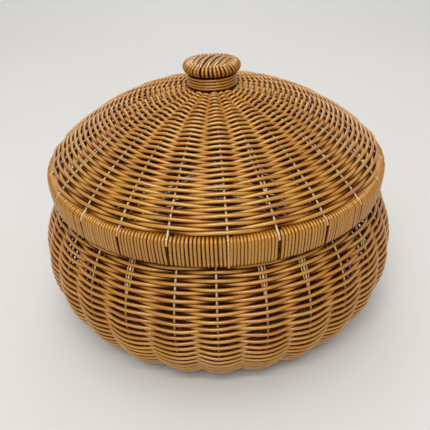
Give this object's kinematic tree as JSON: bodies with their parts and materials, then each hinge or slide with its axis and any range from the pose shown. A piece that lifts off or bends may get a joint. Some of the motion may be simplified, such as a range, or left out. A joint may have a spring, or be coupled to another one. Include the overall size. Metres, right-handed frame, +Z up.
{
  "type": "lidded wicker basket",
  "caption": "Round bulging wicker basket of glossy woven strand on coated-wire stakes, with a domed lift-off lid that has a bound rim band and a mushroom knob.",
  "frame": {"origin": "on the floor under the middle of the basket", "axes": "+Z up through the knob; the basket is round, so +X and -Y are free, and -Y is the side seen from the front"},
  "size_m": [0.3529, 0.353, 0.2451],
  "materials": {
    "woven_strand": "glossy honey-brown round strand with soft highlights",
    "coated_wire": "pale cream coated wire, satin"
  },
  "bodies": {
    "basket": {"stakes": "coated_wire", "bottom_centre": "woven_strand", "bottom_weave": "woven_strand", "wall_weave_foot": "woven_strand", "wall_weave_belly": "woven_strand", "wall_weave_shoulder": "woven_strand", "mouth_hoop": "coated_wire", "mouth_binding": "woven_strand"},
    "lid": {"lid_ribs": "coated_wire", "crown_ring": "coated_wire", "rim_hoop_upper": "coated_wire", "rim_hoop_lower": "coated_wire", "rim_binding": "woven_strand", "dome_weave_edge": "woven_strand", "dome_weave_middle": "woven_strand", "dome_weave_crown": "woven_strand", "neck_core": "woven_strand", "neck_coils": "woven_strand", "knob_core": "woven_strand", "knob_edge_binding": "woven_strand", "knob_top_weave": "woven_strand"}
  },
  "joints": [
    {"name": "lid_lift", "type": "slide", "parent": "basket", "child": "lid", "axis": [0, 0, 1], "range_m": [0, 0.25]}
  ]
}
